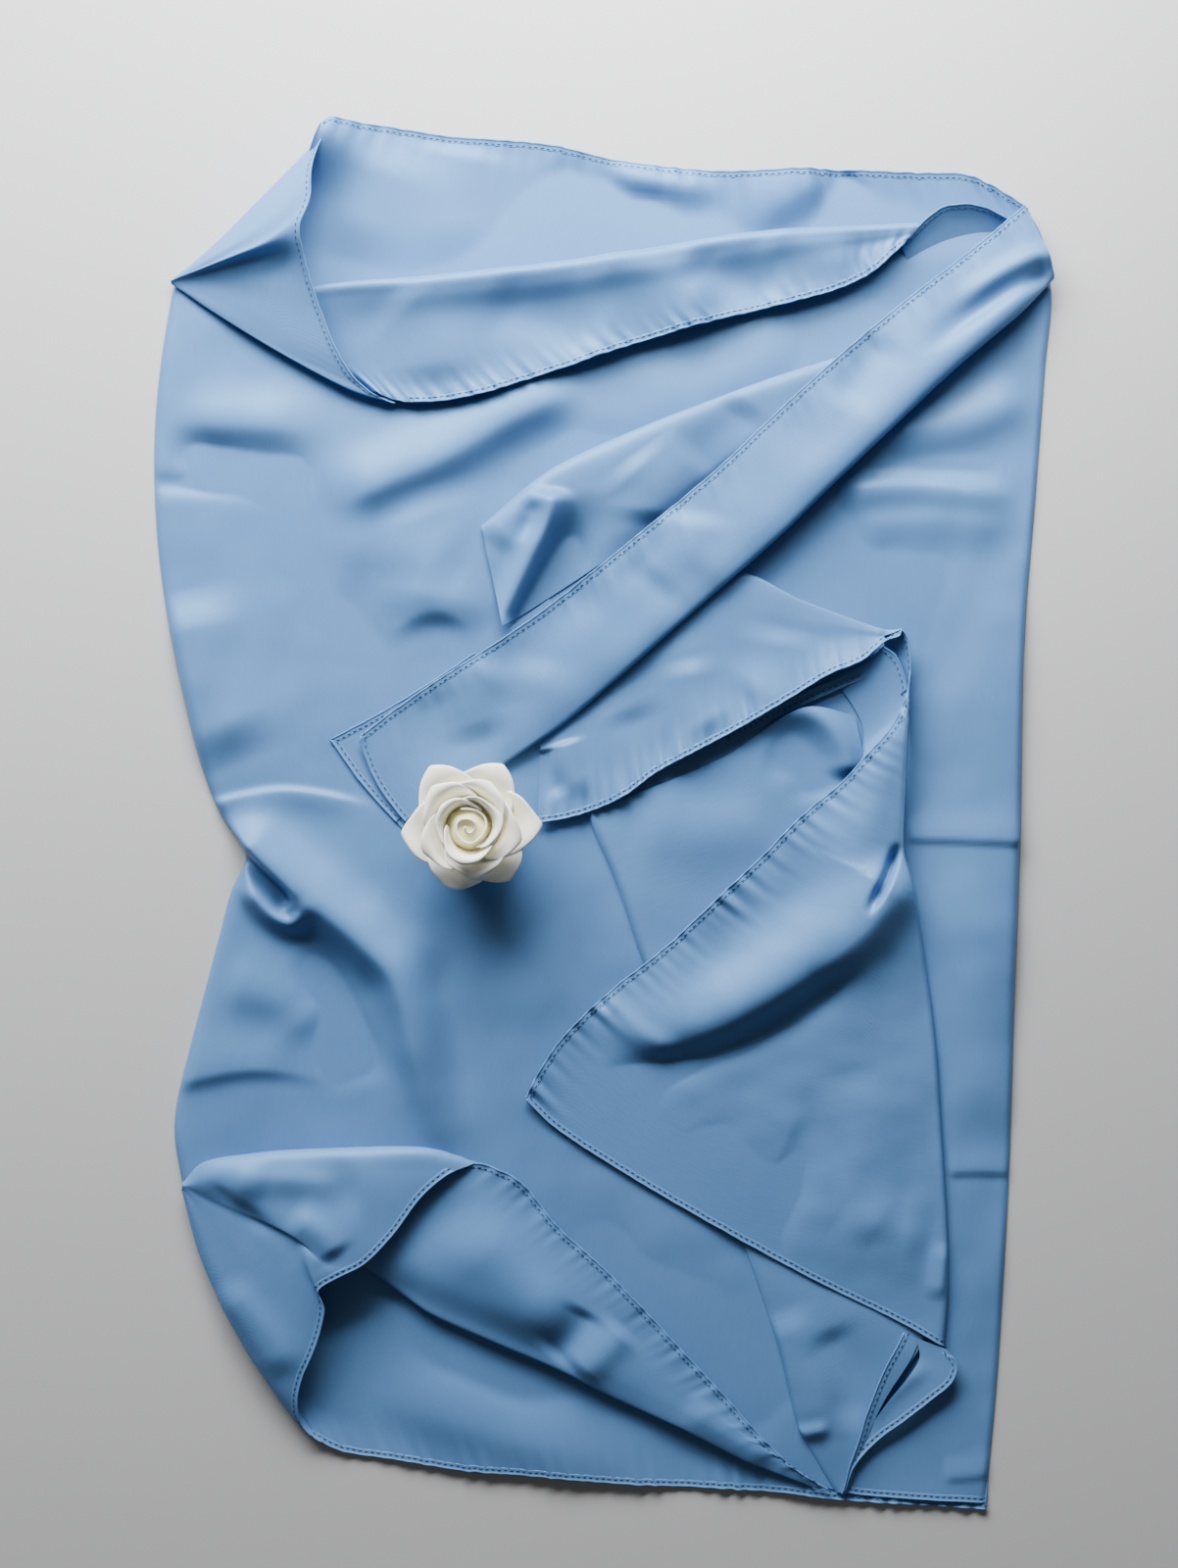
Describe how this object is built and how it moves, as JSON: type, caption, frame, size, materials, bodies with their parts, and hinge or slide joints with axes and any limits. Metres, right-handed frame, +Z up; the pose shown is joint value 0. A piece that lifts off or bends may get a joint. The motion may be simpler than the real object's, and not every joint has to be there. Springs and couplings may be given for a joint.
{
  "type": "folded satin wrap",
  "caption": "Hemmed rectangular matte-satin cloth, folded double and laid flat with its ends turned over, with a foam rose that lifts off it.",
  "frame": {"origin": "on the table, under the middle of the folded cloth's outline", "axes": "+Z up from the table, +Y from the bottom hem to the top hem, +X towards the straight right edge"},
  "size_m": [0.478, 0.7341, 0.0467],
  "materials": {
    "satin": "satin",
    "foam": "matte"
  },
  "bodies": {
    "cloth": {"back_layer": "satin", "front_layer": "satin", "corner_outer": "satin", "corner_inner": "satin", "collar": "satin", "band_under": "satin", "band_top": "satin", "pouch_fold": "satin", "middle_flap": "satin", "loop_lining": "satin", "lower_flap": "satin", "under_flap": "satin", "funnel": "satin", "pouch_top": "satin", "side_flap": "satin", "turned_up_front": "satin"},
    "rose": {"rose_base": "foam", "rose_bud": "foam", "petal_inner_1": "foam", "petal_inner_2": "foam", "petal_inner_3": "foam", "petal_middle_1": "foam", "petal_middle_2": "foam", "petal_middle_3": "foam", "petal_middle_4": "foam", "petal_middle_5": "foam", "petal_outer_1": "foam", "petal_outer_2": "foam", "petal_outer_3": "foam", "petal_outer_4": "foam", "petal_outer_5": "foam", "petal_outer_6": "foam"}
  },
  "joints": [
    {"name": "rose_lift", "type": "slide", "parent": "cloth", "child": "rose", "axis": [0, 0, 1], "range_m": [0, 0.12]}
  ]
}
